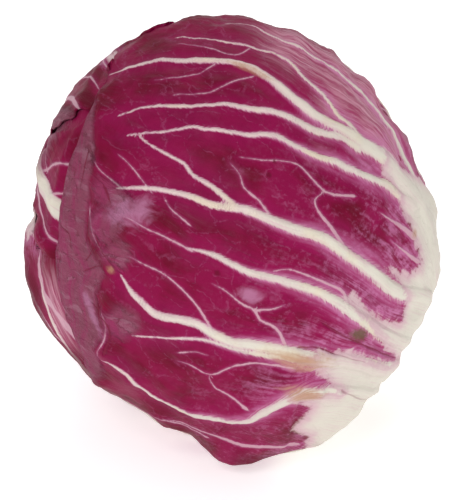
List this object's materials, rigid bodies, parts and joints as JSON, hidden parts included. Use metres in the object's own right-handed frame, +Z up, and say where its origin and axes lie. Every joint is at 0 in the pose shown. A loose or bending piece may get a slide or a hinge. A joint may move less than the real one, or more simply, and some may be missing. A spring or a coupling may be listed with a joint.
{
  "type": "radicchio head",
  "caption": "Round head of red radicchio lying on its side: overlapping wrapped leaves with raised pale ribs and waved margins round a dense heart with a cut stem.",
  "frame": {"origin": "middle of the small flat spot that the head rests on", "axes": "+Z up; -Y towards the side that the widest leaf faces; +X towards the end where the cut stem points down and to the side"},
  "size_m": [0.1119, 0.1123, 0.1115],
  "materials": {
    "outer_leaf": "satin waxy leaf, crimson to magenta blade with cream ribs and feathered veins",
    "inner_leaf": "satin waxy leaf, lighter crimson with a broad cream rib",
    "pale_heart": "matt cream flesh, browned where the stem is cut"
  },
  "bodies": {
    "root": {"front_leaf": "outer_leaf", "low_leaf": "outer_leaf", "back_leaf": "outer_leaf", "top_leaf": "outer_leaf", "inner_side_leaf": "inner_leaf", "heart_and_stem": "pale_heart"}
  },
  "joints": []
}
